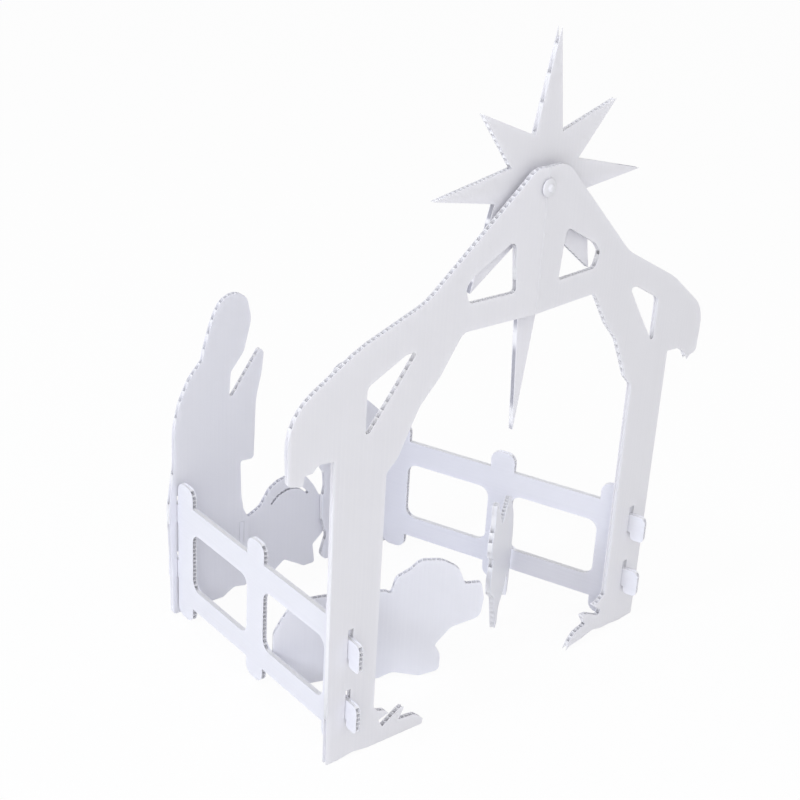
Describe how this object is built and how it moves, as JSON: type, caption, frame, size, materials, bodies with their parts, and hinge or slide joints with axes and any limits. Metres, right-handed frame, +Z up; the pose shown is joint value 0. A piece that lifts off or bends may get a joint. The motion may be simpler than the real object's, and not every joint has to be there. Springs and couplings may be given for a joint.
{
  "type": "outdoor nativity cutout",
  "caption": "Flat-packed nativity scene of white fluted plastic board: creased arch, slotted fences, robed figures, manger, lambs and a turning star.",
  "frame": {"origin": "middle of the footprint of the whole scene, on the floor", "axes": "+X along the arch to the viewer's right, +Y from the arch to the row of figures, +Z up"},
  "size_m": [0.4185, 0.2588, 0.5102],
  "materials": {
    "board": "satin, faintly ribbed by the flutes",
    "screw_plastic": "smooth moulded"
  },
  "bodies": {
    "left_wing": {"arch_left": "board", "star_screw": "screw_plastic", "star_nut": "screw_plastic", "left_fence": "board", "standing_figure": "board", "manger": "board"},
    "right_wing": {"arch_right": "board", "right_fence": "board", "kneeling_figure": "board"},
    "star": {"star": "board"},
    "lying_lamb": {"lying_lamb": "board"},
    "standing_lamb": {"standing_lamb": "board"}
  },
  "joints": [
    {"name": "arch_fold", "type": "hinge", "parent": "left_wing", "child": "right_wing", "pos_m": [0, -0.12416, 0.2], "axis": [0, 0, 1], "range_deg": [-7.2, 0]},
    {"name": "star_turn", "type": "hinge", "parent": "left_wing", "child": "star", "pos_m": [0, -0.11268, 0.406], "axis": [0, 1, 0], "range_deg": [-15, 15]},
    {"name": "lying_lamb_lift", "type": "slide", "parent": "left_wing", "child": "lying_lamb", "axis": [0, 0, 1], "range_m": [0, 0.45]},
    {"name": "standing_lamb_lift", "type": "slide", "parent": "left_wing", "child": "standing_lamb", "axis": [0, 0, 1], "range_m": [0, 0.45]}
  ]
}
